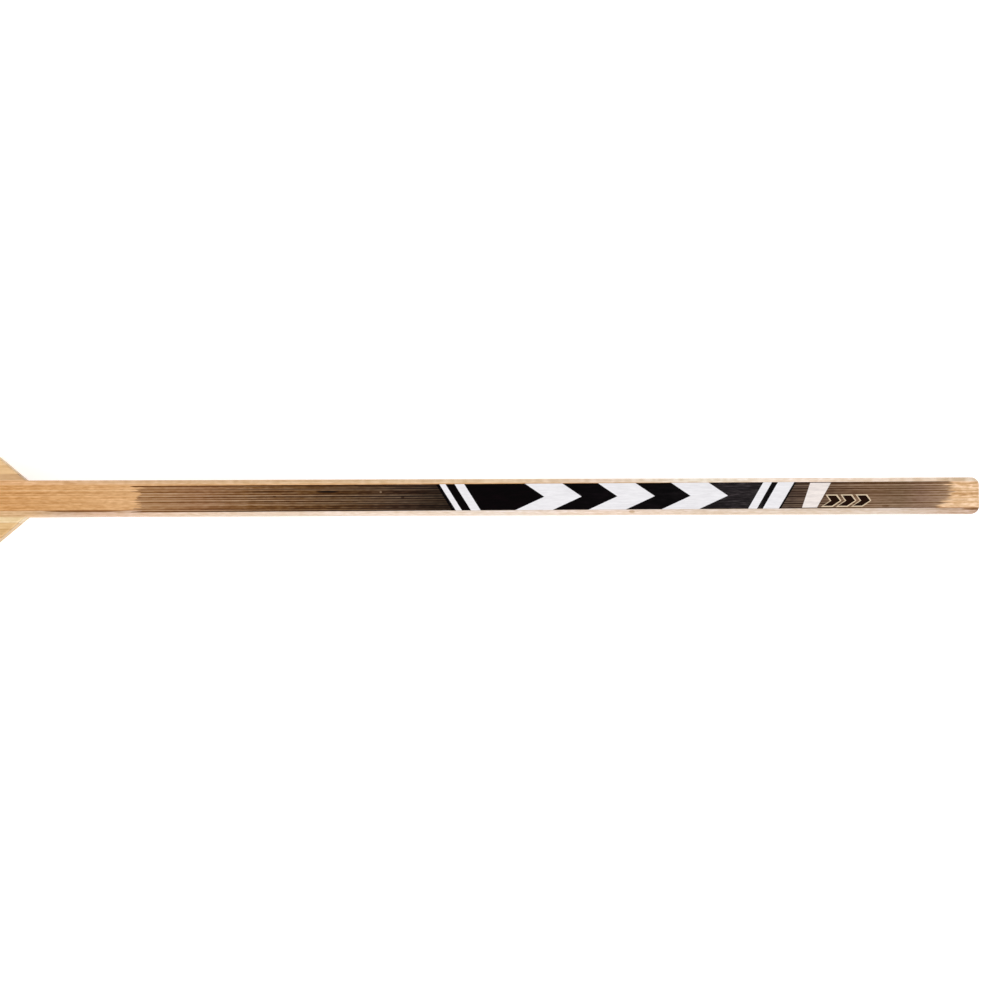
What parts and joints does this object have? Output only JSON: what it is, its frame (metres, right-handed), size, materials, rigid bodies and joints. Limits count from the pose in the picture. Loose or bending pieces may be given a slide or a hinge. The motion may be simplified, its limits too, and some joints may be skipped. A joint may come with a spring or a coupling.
{
  "type": "ice hockey goalkeeper stick",
  "caption": "Laminated wooden goalkeeper's ice hockey stick, with a long handle, a wide paddle and a curved blade under glass cloth, for stopping and passing the puck.",
  "frame": {"origin": "middle of the whole stick's plan, on the plane that its back face lies on", "axes": "+X along the handle towards its butt end, +Y across it towards the heel side, +Z out of the front face"},
  "size_m": [1.6104, 0.3636, 0.0251],
  "materials": {
    "birch": "clear varnish",
    "aspen": "clear varnish",
    "glass_cloth": "set in clear resin",
    "glue": "hard amber glue line",
    "print": "screen-printed ink"
  },
  "bodies": {
    "root": {"shaft_ply_1": "birch", "shaft_ply_2": "aspen", "shaft_ply_3": "birch", "shaft_ply_4": "aspen", "shaft_ply_5": "birch", "shaft_ply_6": "aspen", "shaft_ply_7": "birch", "paddle_heel_side_strip": "birch", "paddle_heel_side_inner_board": "aspen", "paddle_heel_side_outer_board": "aspen", "paddle_toe_side_strip": "birch", "paddle_toe_side_inner_board": "aspen", "paddle_toe_side_outer_board": "aspen", "blade_lower_board": "aspen", "blade_middle_board": "aspen", "blade_upper_board": "aspen", "front_glass_cloth": "glass_cloth", "back_glass_cloth": "glass_cloth"}
  },
  "joints": []
}
